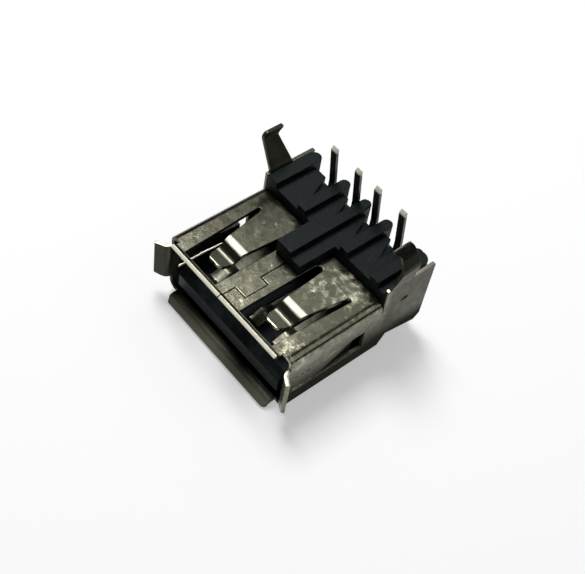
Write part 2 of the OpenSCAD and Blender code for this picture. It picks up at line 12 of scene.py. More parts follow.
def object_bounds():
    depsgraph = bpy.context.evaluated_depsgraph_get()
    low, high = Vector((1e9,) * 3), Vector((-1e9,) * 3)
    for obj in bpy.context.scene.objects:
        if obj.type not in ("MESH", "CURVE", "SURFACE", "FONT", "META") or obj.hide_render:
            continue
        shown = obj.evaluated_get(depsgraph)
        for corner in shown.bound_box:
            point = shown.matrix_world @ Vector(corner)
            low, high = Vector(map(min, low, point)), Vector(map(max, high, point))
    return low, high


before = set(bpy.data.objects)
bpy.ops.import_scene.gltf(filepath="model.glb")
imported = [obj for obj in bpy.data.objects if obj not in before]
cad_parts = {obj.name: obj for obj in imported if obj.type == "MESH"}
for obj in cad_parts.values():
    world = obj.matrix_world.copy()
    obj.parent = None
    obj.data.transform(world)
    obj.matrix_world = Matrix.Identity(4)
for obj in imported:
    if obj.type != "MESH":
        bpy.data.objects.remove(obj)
cad_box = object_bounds()

bl_info = {
    "name": "USB-A Socket Looks",
    "version": (1, 0, 0),
    "blender": (4, 5, 0),
    "location": "View3D > Sidebar > Socket",
    "description": "Plated shell, moulded insulator, stamped contacts, stage and camera",
    "category": "Object",
}

MM = 0.001
CONTACT_NODES = sorted(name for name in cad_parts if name.startswith("contact_"))

# Names under which the modifiers store what they find on the shell's faces and edges
CAD_FACE, CAD_BORDER, CAD_WIDTH = "cad_face", "cad_border", "cad_width"
CUT_EDGE, BEVEL_WEIGHT = "cut_edge", "bevel_weight_edge"

# Where a finish of the shell, or its painted shade or highlight, starts along an axis, and the fade
# over which it comes in, in metres.
# A minus fade runs towards lower values. SIDE is across from the middle, FRONT and BACK are along
# from the mouth, and TOP and FOOT are heights over the middle of the mouth.
WING_SIDE = (6.2 * MM, 0.1 * MM)
WING_FRONT = (8.4 * MM, 0.8 * MM)
WALL_SIDE = (5.7 * MM, 0.1 * MM)
WALL_FRONT = (0.1 * MM, 0.4 * MM)
WALL_TOP = (1.8 * MM, -3.0 * MM)
SPRING_FOOT = (-1.05 * MM, 0.1 * MM)
FLANGE_SIDE = (-6.2 * MM, -0.2 * MM)
FLANGE_BACK = (0.5 * MM, -0.2 * MM)
LIP_BACK = (0.55 * MM, -0.15 * MM)
LIP_TOP = (-2.2 * MM, -0.1 * MM)
RIM_BACK = (0.0, -0.25 * MM)
LEFT_SIDE = (0.0, -4.5 * MM)
LEFT_WING_FRONT = (8.0 * MM, 0.2 * MM)
FINGER_INNER_SIDE = (1.85 * MM, 0.05 * MM)
FINGER_OUTER_SIDE = (4.65 * MM, -0.05 * MM)
FINGER_FOOT = (1.9 * MM, 0.1 * MM)
# The crest bands mark painted highlights on the fingers' crests and valleys.
CREST_FRONT_FADE, CREST_BACK_FADE = 0.15 * MM, -0.2 * MM
CREST_HIGHLIGHT_BANDS = ((3.05 * MM, 3.75 * MM), (2.3 * MM, 2.72 * MM))
# The side springs' painted shade lies under a slanted line of this slope.
SPRING_SLOPE = 0.27
SPRING_TOP_FADE, SPRING_BACK_FADE = -0.35 * MM, -0.1 * MM
LEG_FADE, PIN_FADE, TIP_FADE = 0.3 * MM, 1.0 * MM, 0.1 * MM

# Shares of the painted shade, of the matt finish and of the bright cut edges with their painted
# highlight in those places
DARK_WING, DARK_FLANGE, DARK_LEFT = 0.6, 0.9, 0.6
MATT_WING, MATT_FLANGE, MATT_PIN = 0.6, 0.7, 0.6
CUT_ON_LEG, CUT_ON_WING, CUT_ON_LEFT_WING = 0.1, 0.5, 0.2

# Noise levels between which patches, specks and worn flecks come in
PATCH_LEVELS, SPECK_LEVELS, WORN_LEVELS = (0.4, 0.62), (0.6, 0.72), (0.55, 0.92)

# Specks along the width of a patch, share of dust in a patch, lift of the noise in the middle of
# a worn place, and strength of the grain
SPECKS_PER_PATCH = 4.0
DUST_IN_PATCHES = 0.5
WORN_LIFT = 0.3
GRAIN_STRENGTH = 0.5

# Worn places, and a wing's dimple with the reach of its rim, in millimetres
WORN_SPOTS = ((4.7, 7.0, 2.86), (5.3, 0.9, 2.0), (2.9, 6.0, 2.0), (3.4, 7.9, 2.4))
DIMPLE = (6.55, 10.4, 2.13)
DIMPLE_REACH = 0.6

# A cut edge of the sheet is a narrow face with mostly sharp borders that looks upward; the plating
# paints it near-white, bare metal with a painted highlight.
# An edge with fewer faces than FACES_INSIDE lies on the border of a CAD face.
FACES_INSIDE = 2.0
SHARP_ANGLE = math.radians(45)
SHARP_SHARE = 0.7
UPWARD = 0.4

# Rounding of edges; a vertex counts as stray past this share of the radius
SHEET_ROUND_ANGLE = math.radians(62)
ROUND_ANGLE = math.radians(28)
FLAT_ANGLE = math.radians(0.3)
SMOOTH_ANGLE = math.radians(50)
STRAY_SHARE = 0.5
WELD_MM = 0.001

# Lamps by their setting: name, way from the socket, distance, and width and height in metres
LAMPS = {
    "key": ("Key lamp", (-0.41, 0.13, 0.9), 0.25, (0.085, 0.13)),
    "back": ("Back panel", (-0.35, 0.62, 0.7), 0.3, (0.24, 0.2)),
    "right": ("Right panel", (0.62, 0.46, 0.64), 0.3, (0.18, 0.18)),
}

# Camera fitted to the photograph, with its angles in degrees
CAMERA_PLACE = Vector((32.489, -30.3, 62.394)) * MM
AZIMUTH, ELEVATION, ROLL = 41.5217, 52.137, 11.0152
FOCAL_PX = 1121.652
IMAGE_WIDTH_PX = 585
SENSOR_WIDTH_MM = 36.0

# Numbers of the mix node's factor and of its colour sockets
MIX_FACTOR, MIX_LOW, MIX_HIGH, MIX_RESULT = 0, 6, 7, 2


def colour(name, description, default):
    """Colour property with the defaults that all colours share."""
    return FloatVectorProperty(
        name=name, description=description, default=default,
        subtype="COLOR", size=3, min=0.0, max=1.0,
    )


def length(name, description, default):
    """Length property, in metres."""
    return FloatProperty(
        name=name, description=description, default=default,
        unit="LENGTH", min=0.0, precision=6,
    )


def place_on(name, description, default):
    """Place on an axis, in metres, which can be under zero."""
    return FloatProperty(
        name=name, description=description, default=default,
        unit="LENGTH", precision=6,
    )


def share(name, description, default):
    """Plain factor between 0 and 1."""
    return FloatProperty(
        name=name, description=description, default=default,
        subtype="FACTOR", min=0.0, max=1.0,
    )


def brightness(name, description, default):
    """Brightness of a lamp's face, where 1 is white."""
    return FloatProperty(name=name, description=description, default=default, min=0.0)


class SocketShellFinish(PropertyGroup):
    """Finish of the folded shell, with its painted shade and painted highlights."""

    plating: colour("Plating", "Colour of the clean nickel plating", (0.25, 0.246, 0.18))
    dull: colour("Dull plating", "Colour of the dull patches", (0.155, 0.152, 0.11))
    stain: colour("Stain", "Colour of the dark specks", (0.07, 0.068, 0.05))
    # Painted shade: the darker colour of the legs, wings, lower walls, left side and floor lip, where
    # the shell lies in shade or reflects dark surroundings.
    painted_shade: colour("Tarnish", "Colour of the dark legs, wings and lip", (0.07, 0.068, 0.053))
    # Painted shade in the recess of the side springs, nearly black.
    shade: colour("Shade", "Colour of the dark side springs", (0.018, 0.018, 0.015))
    worn: colour("Worn plating", "Colour of the bright worn flecks", (0.68, 0.665, 0.5))
    # Painted highlight bands on the fingers' crests and valleys.
    crest: colour("Rubbed crest", "Colour of the rubbed crests of the fingers", (0.74, 0.725, 0.575))
    # Lighter matte tone on the floor lip's front rim, where the lip's painted shade ends.
    rim: colour("Lip rim", "Colour of the dull rim of the floor lip", (0.27, 0.265, 0.205))
    # Upward cut edges: bare metal, brightened into a painted highlight.
    bare: colour("Bare metal", "Colour of the cut edges", (0.95, 0.93, 0.76))
    roughness: share("Roughness", "Roughness of the clean plating", 0.15)
    dull_roughness: share("Dull roughness", "Roughness of the dull patches", 0.26)
    worn_roughness: share("Worn roughness", "Roughness of the worn flecks", 0.3)
    lip_roughness: share("Lip roughness", "Roughness of the dull floor lip", 0.5)
    bare_roughness: share("Bare roughness", "Roughness of the cut edges and rubbed crests", 0.5)
    cut_width: length("Cut width", "Width under which a face counts as a cut edge", 0.31 * MM)
    # Height above which the legs take painted shade.
    leg_shade_height: length("Tarnish height", "Height at which the legs turn dark", 4.3 * MM)
    # End and slanted upper line of the painted shade on the side springs.
    spring_shade_end: length("Spring end", "Distance from the mouth where the dark springs end", 7.2 * MM)
    spring_shade_level: place_on("Spring level", "Height of the slanted line over the dark springs",
                           -1.25 * MM)
    patch: length("Patch size", "Size of the dull patches", 0.6 * MM)
    fleck: length("Fleck size", "Size of the worn flecks", 0.45 * MM)
    worn_reach: length("Worn reach", "Distance that a worn place reaches", 2.0 * MM)
    edge: length("Edge radius", "Radius of the sheet's cut edges", 0.04 * MM)


class SocketInsulatorFinish(PropertyGroup):
    """Finish of the moulded insulator."""

    plastic: colour("Plastic", "Colour of the moulding", (0.0055, 0.0112, 0.0118))
    dust: colour("Dust", "Colour of the fine dust on the moulding", (0.025, 0.033, 0.034))
    roughness: share("Roughness", "Roughness of the moulding", 0.45)
    dusty_roughness: share("Dusty roughness", "Roughness of the dusty patches", 0.65)
    shine: share("Shine", "Strength of the moulding's reflections", 0.16)
    patch: length("Patch size", "Size of the dusty patches", 1.1 * MM)
    edge: length("Edge radius", "Radius of the moulded edges", 0.06 * MM)


class SocketContactFinish(PropertyGroup):
    """Finish of the stamped contacts, with painted shade on the pins and painted highlights on their
    tips.
    """

    tin: colour("Tin", "Colour of the plated contacts", (0.38, 0.366, 0.285))
    dull: colour("Dull tin", "Colour of the dull patches", (0.27, 0.26, 0.203))
    # Painted shade on the pins, for the dark surroundings they reflect.
    painted_shade: colour("Tarnish", "Colour of the dark pins", (0.06, 0.058, 0.048))
    # Pin tips: bare cut metal, brightened into a painted highlight.
    bare: colour("Bare metal", "Colour of the cut pin tips", (0.97, 0.95, 0.85))
    roughness: share("Roughness", "Roughness of the plated contacts", 0.28)
    dull_roughness: share("Dull roughness", "Roughness of the dull patches", 0.43)
    bare_roughness: share("Bare roughness", "Roughness of the cut pin tips", 0.8)
    # Height past which the pins take their painted shade.
    pin_height: length("Pin height", "Height at which the pins start to darken", 2.9 * MM)
    # Length of the pin tips' painted highlight.
    tip: length("Bare tip", "Length of the bare pin tips", 0.4 * MM)
    patch: length("Patch size", "Size of the dull patches", 0.5 * MM)
    edge: length("Edge radius", "Radius of the stamped edges", 0.03 * MM)


class SocketStage(PropertyGroup):
    """Floor, lamps and surroundings."""

    floor: colour("Floor", "Colour of the floor", (0.93, 0.93, 0.93))
    floor_size: length("Floor size", "Length of the sides of the floor", 0.8)
    sky: colour("Surroundings", "Colour of the dim surroundings", (0.05, 0.05, 0.05))
    floor_glow: share("Floor glow", "Lift that takes the floor to white in the picture", 0.42)
    key: brightness("Key lamp", "Brightness of the lamp overhead", 10.5)
    back: brightness("Back panel", "Brightness of the panel behind", 0.36)
    right: brightness("Right panel", "Brightness of the panel on the right", 0.6)


def fill(tree, node, values):
    """Sets a node's input sockets, or links them where a value comes from another node."""
    for key, value in values.items():
        if isinstance(value, bpy.types.NodeSocket):
            tree.links.new(value, node.inputs[key])
        else:
            node.inputs[key].default_value = value


def add(tree, node_type, values=None, **settings):
    """Adds a node, sets its attributes, and fills its input sockets."""
    node = tree.nodes.new(node_type)
    for key, value in settings.items():
        setattr(node, key, value)
    fill(tree, node, values or {})
    return node


def calculate(tree, operation, *values):
    """Result of a math node."""
    return add(tree, "ShaderNodeMath", dict(enumerate(values)), operation=operation).outputs[0]


def overlap(tree, mask, *others):
    """Product of masks: where they all lie."""
    for other in others:
        mask = calculate(tree, "MULTIPLY", mask, other)
    return mask


def either(tree, mask, *others):
    """Greatest of masks: where any of them lies."""
    for other in others:
        mask = calculate(tree, "MAXIMUM", mask, other)
    return mask


def distance(tree, start, end):
    """Distance between two places."""
    return add(tree, "ShaderNodeVectorMath", {0: start, 1: end},
               operation="DISTANCE").outputs["Value"]


def between(tree, factor, low, high):
    """A factor from 0 to 1 stretched to a range of values."""
    return add(tree, "ShaderNodeMapRange",
               {"Value": factor, "To Min": low, "To Max": high}).outputs["Result"]


def above(tree, value, level, fade):
    """Mask that rises from 0 to 1 over a fade past a level; a minus fade turns it round."""
    return add(tree, "ShaderNodeMapRange",
               {"Value": value, "From Min": level, "From Max": level + fade}).outputs["Result"]


def soft_step(tree, value, levels):
    """Mask that rises smoothly from 0 to 1 between two levels."""
    return add(tree, "ShaderNodeMapRange",
               {"Value": value, "From Min": levels[0], "From Max": levels[1]},
               interpolation_type="SMOOTHSTEP").outputs["Result"]


def rgba(values):
    """Colour with full alpha."""
    return (*values, 1.0)


def paint(tree, base, *coats):
    """Colour with coats over it, each given as its mask and colour."""
    for mask, coat in coats:
        low = base if isinstance(base, bpy.types.NodeSocket) else rgba(base)
        base = add(tree, "ShaderNodeMix", {MIX_FACTOR: mask, MIX_LOW: low, MIX_HIGH: rgba(coat)},
                   data_type="RGBA").outputs[MIX_RESULT]
    return base


def roughen(tree, base, *coats):
    """Roughness with coats over it, each given as its mask and roughness."""
    for mask, coat in coats:
        base = between(tree, mask, base, coat)
    return base


def object_place(tree):
    """Place of a point in the shared frame."""
    return add(tree, "ShaderNodeTexCoord").outputs["Object"]


def axes(tree):
    """Places of a point along the three axes of the shared frame."""
    return add(tree, "ShaderNodeSeparateXYZ", {"Vector": object_place(tree)}).outputs


def shader_group(name, inputs, outputs):
    """Empty shader group of plain values, with its given inputs and its outlet."""
    group = bpy.data.node_groups.new(name, "ShaderNodeTree")
    for socket, default in inputs.items():
        inlet = group.interface.new_socket(
            name=socket, in_out="INPUT", socket_type="NodeSocketFloat")
        inlet.default_value = default
    for socket in outputs:
        group.interface.new_socket(name=socket, in_out="OUTPUT", socket_type="NodeSocketFloat")
    return group, group.nodes.new("NodeGroupInput").outputs, group.nodes.new("NodeGroupOutput")


def patches_group():
    """Soft patches and small specks over a surface, as two masks."""
    name = "Soft Patches"
    if name in bpy.data.node_groups:
        return bpy.data.node_groups[name]
    group, given, outlet = shader_group(name, {"Size": MM, "Seed": 0.0}, ("Patches", "Specks"))
    place = object_place(group)
    density = calculate(group, "DIVIDE", 1.0, given["Size"])
    broad = add(group, "ShaderNodeTexNoise",
                {"Vector": place, "W": given["Seed"], "Scale": density, "Detail": 5.0,
                 "Roughness": 0.62, "Distortion": 0.5}, noise_dimensions="4D")
    fine = calculate(group, "MULTIPLY", density, SPECKS_PER_PATCH)
    small = add(group, "ShaderNodeTexNoise",
                {"Vector": place, "W": given["Seed"], "Scale": fine, "Detail": 3.0,
                 "Roughness": 0.55}, noise_dimensions="4D")
    fill(group, outlet, {"Patches": soft_step(group, broad.outputs["Fac"], PATCH_LEVELS),
                         "Specks": soft_step(group, small.outputs["Fac"], SPECK_LEVELS)})
    return group


def grain_group():
    """Height of a fine grain on top of a slow waviness."""
    name = "Fine Grain"
    if name in bpy.data.node_groups:
        return bpy.data.node_groups[name]
    group, given, outlet = shader_group(
        name, {"Grain": 0.05 * MM, "Wave": MM, "Wave Share": 0.5}, ("Height",))
    place = object_place(group)
    heights = []
    for size, detail in (("Grain", 2.0), ("Wave", 1.0)):
        density = calculate(group, "DIVIDE", 1.0, given[size])
        noise = add(group, "ShaderNodeTexNoise",
                    {"Vector": place, "Scale": density, "Detail": detail, "Roughness": 0.5})
        heights.append(noise.outputs["Fac"])
    fill(group, outlet, {"Height": between(group, given["Wave Share"], *heights)})
    return group


def worn_group():
    """Bright worn flecks around a few places on the board-side face."""
    group, given, outlet = shader_group("Worn Flecks", {"Size": MM, "Reach": MM}, ("Worn",))
    place = object_place(group)
    density = calculate(group, "DIVIDE", 1.0, given["Size"])
    flecks = add(group, "ShaderNodeTexNoise",
                 {"Vector": place, "Scale": density, "Detail": 4.0, "Roughness": 0.6}).outputs["Fac"]
    near = 0.0
    for spot in WORN_SPOTS:
        far = calculate(group, "DIVIDE", distance(group, place, Vector(spot) * MM), given["Reach"])
        near = either(group, near, calculate(group, "SUBTRACT", 1.0, far))
    height = calculate(group, "MULTIPLY_ADD", near, WORN_LIFT, flecks)
    fill(group, outlet, {"Worn": soft_step(group, height, WORN_LEVELS)})
    return group


def place_group(tree, group, values):
    """Outputs of a node group that is placed in a material with its own values."""
    return add(tree, "ShaderNodeGroup", values, node_tree=group).outputs


def grained(tree, depth, values):
    """Normal of a surface with a fine grain of a depth."""
    height = place_group(tree, grain_group(), values)["Height"]
    return add(tree, "ShaderNodeBump",
               {"Height": height, "Distance": depth, "Strength": GRAIN_STRENGTH}).outputs["Normal"]


def new_material(name):
    """Material with an empty tree, its shader and its output."""
    material = bpy.data.materials.new(name)
    material.use_nodes = True
    tree = material.node_tree
    tree.nodes.clear()
    shader = tree.nodes.new("ShaderNodeBsdfPrincipled")
    add(tree, "ShaderNodeOutputMaterial", {"Surface": shader.outputs["BSDF"]})
    return material, tree, shader


def shell_places(tree, finish):
    """Masks of the places on the shell that take painted shade, painted highlights or the lip's
    lighter rim.
    """
    x, y, z = axes(tree)
    aside = calculate(tree, "ABSOLUTE", x)
    wall = above(tree, aside, *WALL_SIDE)
    slant = calculate(tree, "MULTIPLY_ADD", y, -SPRING_SLOPE, z)
    finger = overlap(tree, above(tree, aside, *FINGER_INNER_SIDE),
                     above(tree, aside, *FINGER_OUTER_SIDE), above(tree, z, *FINGER_FOOT))
    # Painted highlight bands on the fingers' crests and valleys.
    crests = [overlap(tree, above(tree, y, front, CREST_FRONT_FADE),
                      above(tree, y, back, CREST_BACK_FADE)) for front, back in CREST_HIGHLIGHT_BANDS]
    # Painted shade on the floor lip under the mouth's overhang; the rim is its lighter front edge.
    lip = overlap(tree, above(tree, y, *LIP_BACK), above(tree, z, *LIP_TOP))
    left = above(tree, x, *LEFT_SIDE)
    return SimpleNamespace(
        # Painted shade on the legs, the wings, the left flange and the left side.
        legs=above(tree, z, finish.leg_shade_height, LEG_FADE),
        wings=overlap(tree, above(tree, aside, *WING_SIDE), above(tree, y, *WING_FRONT)),
        # Painted shade in the side springs' recess, under a slanted line.
        springs=overlap(tree, wall, above(tree, slant, finish.spring_shade_level, SPRING_TOP_FADE),
                        above(tree, y, finish.spring_shade_end, SPRING_BACK_FADE),
                        above(tree, z, *SPRING_FOOT)),
        # Painted shade on the lower side walls, darker towards their foot.
        low_wall_shade=overlap(tree, wall, above(tree, z, *WALL_TOP), above(tree, y, *WALL_FRONT)),
        left_flange=overlap(tree, above(tree, x, *FLANGE_SIDE), above(tree, y, *FLANGE_BACK)),
        left=left,
        left_wing=overlap(tree, left, above(tree, y, *LEFT_WING_FRONT)),
        crests=overlap(tree, either(tree, *crests), finger),
        lip=lip,
        rim=overlap(tree, lip, above(tree, y, *RIM_BACK)),
    )


def plated_sheet(finish):
    """Mottled nickel plating on folded sheet, with painted shade on the legs, wings, lower walls,
    left side, lip and side springs, painted highlights on the fingers' crests and valleys and on the
    upward cut edges, and a lighter rim on the lip.
    """
    material, tree, shader = new_material("Plated sheet")
    marks = place_group(tree, patches_group(), {"Size": finish.patch, "Seed": 1.0})
    worn = place_group(tree, worn_group(),
                       {"Size": finish.fleck, "Reach": finish.worn_reach})["Worn"]
    on = shell_places(tree, finish)
    # Upward cut edges painted near-white as a highlight, weaker on the legs and wings.
    cut = overlap(tree, add(tree, "ShaderNodeAttribute", attribute_name=CUT_EDGE).outputs["Fac"],
                  between(tree, on.legs, 1.0, CUT_ON_LEG),
                  between(tree, on.wings, 1.0, CUT_ON_WING),
                  between(tree, on.left_wing, 1.0, CUT_ON_LEFT_WING))
    # Painted shade where the shell lies in shade or reflects dark surroundings.
    dark = either(tree, on.legs, on.low_wall_shade, overlap(tree, on.wings, DARK_WING),
                  overlap(tree, on.left_flange, DARK_FLANGE), overlap(tree, on.left, DARK_LEFT))
    # Metal turns matt where the shade is painted and on the lip's rim, so these places don't mirror
    # the white floor.
    matt = either(tree, on.springs, on.low_wall_shade, on.rim, overlap(tree, on.wings, MATT_WING),
                  overlap(tree, on.left_flange, MATT_FLANGE))
    matt = overlap(tree, matt, between(tree, cut, 1.0, 0.0))
    fill(tree, shader, {
        # Coats: patches, specks and worn flecks, then painted shade, the springs' painted shade, the
        # fingers' painted highlights, the lip's painted shade, its lighter rim and the cut edges'
        # painted highlight.
        "Base Color": paint(
            tree, finish.plating, (marks["Patches"], finish.dull), (marks["Specks"], finish.stain),
            (worn, finish.worn), (dark, finish.painted_shade), (on.springs, finish.shade),
            (on.crests, finish.crest), (on.lip, finish.painted_shade), (on.rim, finish.rim),
            (cut, finish.bare)),
        "Roughness": roughen(
            tree, finish.roughness, (marks["Patches"], finish.dull_roughness),
            (worn, finish.worn_roughness), (on.crests, finish.bare_roughness),
            (on.lip, finish.lip_roughness), (cut, finish.bare_roughness)),
        "Metallic": between(tree, matt, 1.0, 0.0),
        "Specular IOR Level": 0.0,
        "Normal": grained(tree, 0.03 * MM,
                          {"Grain": 0.07 * MM, "Wave": 0.7 * MM, "Wave Share": 0.7}),
    })
    return material


def moulded_plastic(finish):
    """Black moulding with a fine grain and a little dust."""
    material, tree, shader = new_material("Moulded plastic")
    marks = place_group(tree, patches_group(), {"Size": finish.patch, "Seed": 7.0})
    dust = calculate(tree, "MULTIPLY_ADD", marks["Patches"], DUST_IN_PATCHES, marks["Specks"])
    fill(tree, shader, {
        "Base Color": paint(tree, finish.plastic, (dust, finish.dust)),
        "Roughness": roughen(tree, finish.roughness, (marks["Patches"], finish.dusty_roughness)),
        "Specular IOR Level": finish.shine,
        "Normal": grained(tree, 0.02 * MM,
                          {"Grain": 0.05 * MM, "Wave": 0.4 * MM, "Wave Share": 0.4}),
    })
    return material


def plated_contact(finish, tip_height):
    """Tin plating on a stamped strip, with painted shade on the pin and a bare tip brightened into a
    painted highlight.
    """
    material, tree, shader = new_material("Plated contact")
    marks = place_group(tree, patches_group(), {"Size": finish.patch, "Seed": 3.0})
    height = axes(tree)["Z"]
    # Painted shade on the pin past its height, and a painted highlight on its bare tip.
    pin = above(tree, height, finish.pin_height, PIN_FADE)
    tip = above(tree, height, tip_height - finish.tip, TIP_FADE)
    matt = overlap(tree, pin, between(tree, tip, MATT_PIN, 0.0))
    fill(tree, shader, {
        "Base Color": paint(tree, finish.tin, (marks["Patches"], finish.dull),
                            (pin, finish.painted_shade), (tip, finish.bare)),
        "Roughness": roughen(tree, finish.roughness, (marks["Patches"], finish.dull_roughness),
                             (tip, finish.bare_roughness)),
        "Metallic": between(tree, matt, 1.0, 0.0),
        "Normal": grained(tree, 0.02 * MM,
                          {"Grain": 0.05 * MM, "Wave": 0.5 * MM, "Wave Share": 0.6}),
    })
    return material


def mesh_group(name):
    """Empty geometry group for a modifier, with its inlet and outlet."""
    group = bpy.data.node_groups.new(name, "GeometryNodeTree")
    for in_out in ("INPUT", "OUTPUT"):
        group.interface.new_socket(
            name="Geometry", in_out=in_out, socket_type="NodeSocketGeometry")
    return group, group.nodes.new("NodeGroupInput").outputs[0], group.nodes.new("NodeGroupOutput")


def scaled(tree, mesh, factor):
    """Mesh at another scale."""
    return add(tree, "GeometryNodeTransform",
               {"Geometry": mesh, "Scale": (factor,) * 3}).outputs[0]


def store(tree, mesh, domain, name, value, kind="FLOAT"):
    """Mesh with a value stored on it under a name."""
    return add(tree, "GeometryNodeStoreNamedAttribute",
               {"Geometry": mesh, "Name": name, "Value": value},
               data_type=kind, domain=domain).outputs[0]


def stored(tree, name, kind="FLOAT"):
    """Value that is stored on the mesh under a name."""
    return add(tree, "GeometryNodeInputNamedAttribute", {"Name": name},
               data_type=kind).outputs["Attribute"]


def total(tree, value, group_id, domain):
    """Sum of a value over each group of elements."""
    return add(tree, "GeometryNodeAccumulateField", {"Value": value, "Group ID": group_id},
               data_type="FLOAT", domain=domain).outputs["Total"]


def edge_angle(tree):
    """Angle between the two faces at each edge."""
    return add(tree, "GeometryNodeInputMeshEdgeAngle").outputs["Unsigned Angle"]


def edge_run(tree):
    """Length of each edge."""
    ends = add(tree, "GeometryNodeInputMeshEdgeVertices").outputs
    return distance(tree, ends["Position 1"], ends["Position 2"])


def enlarge_group():
    """Geometry group that turns metres into millimetres and adds a copy of the CAD mesh.

    The copy is an instance, so that the next modifiers leave it as it is.
    """
    name = "Metres to Millimetres"
    if name in bpy.data.node_groups:
        return bpy.data.node_groups[name]
    group, mesh, outlet = mesh_group(name)
    mesh = scaled(group, mesh, 1 / MM)
    copy = add(group, "GeometryNodeGeometryToInstance", {0: mesh}).outputs[0]
    join = add(group, "GeometryNodeJoinGeometry", {0: copy})
    fill(group, join, {0: mesh})
    fill(group, outlet, {0: join.outputs[0]})
    return group


def shrink_group():
    """Geometry group that turns millimetres back into metres and shades soft edges smooth."""
    name = "Millimetres to Metres"
    if name in bpy.data.node_groups:
        return bpy.data.node_groups[name]
    group, mesh, outlet = mesh_group(name)
    mesh = scaled(group, mesh, MM)
    soft = calculate(group, "LESS_THAN", edge_angle(group), SMOOTH_ANGLE)
    for domain, smooth in (("FACE", True), ("EDGE", soft)):
        mesh = add(group, "GeometryNodeSetShadeSmooth",
                   {"Geometry": mesh, "Shade Smooth": smooth}, domain=domain).outputs[0]
    fill(group, outlet, {0: mesh})
    return group


def measure_faces_group():
    """Geometry group that notes each CAD face's number, border and width.

    Each CAD face comes in as an island of its own, so its width is its area over half its border.
    """
    group, mesh, outlet = mesh_group("Measure CAD Faces")
    island = add(group, "GeometryNodeInputMeshIsland").outputs["Island Index"]
    area = add(group, "GeometryNodeInputMeshFaceArea").outputs["Area"]
    faces = add(group, "GeometryNodeInputMeshEdgeNeighbors").outputs["Face Count"]
    lone = calculate(group, "LESS_THAN", faces, FACES_INSIDE)
    border = total(group, overlap(group, edge_run(group), lone), island, "EDGE")
    width = calculate(group, "DIVIDE", total(group, area, island, "FACE"),
                      calculate(group, "DIVIDE", border, 2.0))
    mesh = store(group, mesh, "FACE", CAD_FACE, island, kind="INT")
    mesh = store(group, mesh, "FACE", CAD_BORDER, border)
    mesh = store(group, mesh, "FACE", CAD_WIDTH, width)
    fill(group, outlet, {0: mesh})
    return group


def cut_faces(tree, width):
    """Mask of a sheet's upper cut edges: narrow faces with sharp borders that look upward."""
    sharp = calculate(tree, "GREATER_THAN", edge_angle(tree), SHARP_ANGLE)
    edge = add(tree, "GeometryNodeEdgesOfCorner").outputs["Next Edge Index"]
    run = add(tree, "GeometryNodeFieldAtIndex",
              {"Index": edge, "Value": overlap(tree, edge_run(tree), sharp)},
              data_type="FLOAT", domain="EDGE").outputs["Value"]
    sharp_run = total(tree, run, stored(tree, CAD_FACE, kind="INT"), "CORNER")
    sharp_share = calculate(tree, "DIVIDE", sharp_run, stored(tree, CAD_BORDER))
    facing = add(tree, "GeometryNodeInputNormal").outputs["Normal"]
    rise = add(tree, "ShaderNodeSeparateXYZ", {"Vector": facing}).outputs["Z"]
    return overlap(tree, calculate(tree, "GREATER_THAN", sharp_share, SHARP_SHARE),
                   calculate(tree, "LESS_THAN", stored(tree, CAD_WIDTH), width),
                   calculate(tree, "GREATER_THAN", rise, UPWARD))


def rounded_edges(tree):
    """Mask of a sheet's edges to round: the sharp ones, apart from the rims of the wings' dimples."""
    sharp = calculate(tree, "GREATER_THAN", edge_angle(tree), SHEET_ROUND_ANGLE)
    place = add(tree, "GeometryNodeInputPosition").outputs["Position"]
    place = add(tree, "ShaderNodeVectorMath", {0: place}, operation="ABSOLUTE").outputs["Vector"]
    clear = calculate(tree, "GREATER_THAN", distance(tree, place, DIMPLE), DIMPLE_REACH)
    return overlap(tree, sharp, clear)


def cut_edges_group(width):
    """Geometry group that marks a sheet's cut edges, and its edges to round."""
    group, mesh, outlet = mesh_group("Mark Cut Edges")
    mesh = store(group, mesh, "FACE", CUT_EDGE, cut_faces(group, width))
    mesh = store(group, mesh, "EDGE", BEVEL_WEIGHT, rounded_edges(group))
    fill(group, outlet, {0: mesh})
    return group


def hold_group(reach):
    """Geometry group that brings stray vertices back onto the copy of the CAD mesh.

    It also keeps the mesh inside the copy's box, and drops the copy.
    """
    name = f"Hold To CAD {reach:.3f}"
    if name in bpy.data.node_groups:
        return bpy.data.node_groups[name]
    group, mesh, outlet = mesh_group(name)
    parts = add(group, "GeometryNodeSeparateComponents", {0: mesh}).outputs
    cad = add(group, "GeometryNodeRealizeInstances", {0: parts["Instances"]}).outputs[0]
    nearest = add(group, "GeometryNodeProximity", {0: cad}, target_element="FACES").outputs
    stray = calculate(group, "GREATER_THAN", nearest["Distance"], reach)
    held = add(group, "GeometryNodeSetPosition",
               {"Geometry": parts["Mesh"], "Selection": stray,
                "Position": nearest["Position"]}).outputs[0]
    box = add(group, "GeometryNodeBoundBox", {0: cad}).outputs
    place = add(group, "GeometryNodeInputPosition").outputs["Position"]
    for operation, corner in (("MAXIMUM", "Min"), ("MINIMUM", "Max")):
        place = add(group, "ShaderNodeVectorMath", {0: place, 1: box[corner]},
                    operation=operation).outputs["Vector"]
    held = add(group, "GeometryNodeSetPosition", {"Geometry": held, "Position": place}).outputs[0]
    fill(group, outlet, {0: held})
    return group


def add_nodes(node, name, group):
    """Gives a CAD node a geometry group as a modifier."""
    node.modifiers.new(name, "NODES").node_group = group


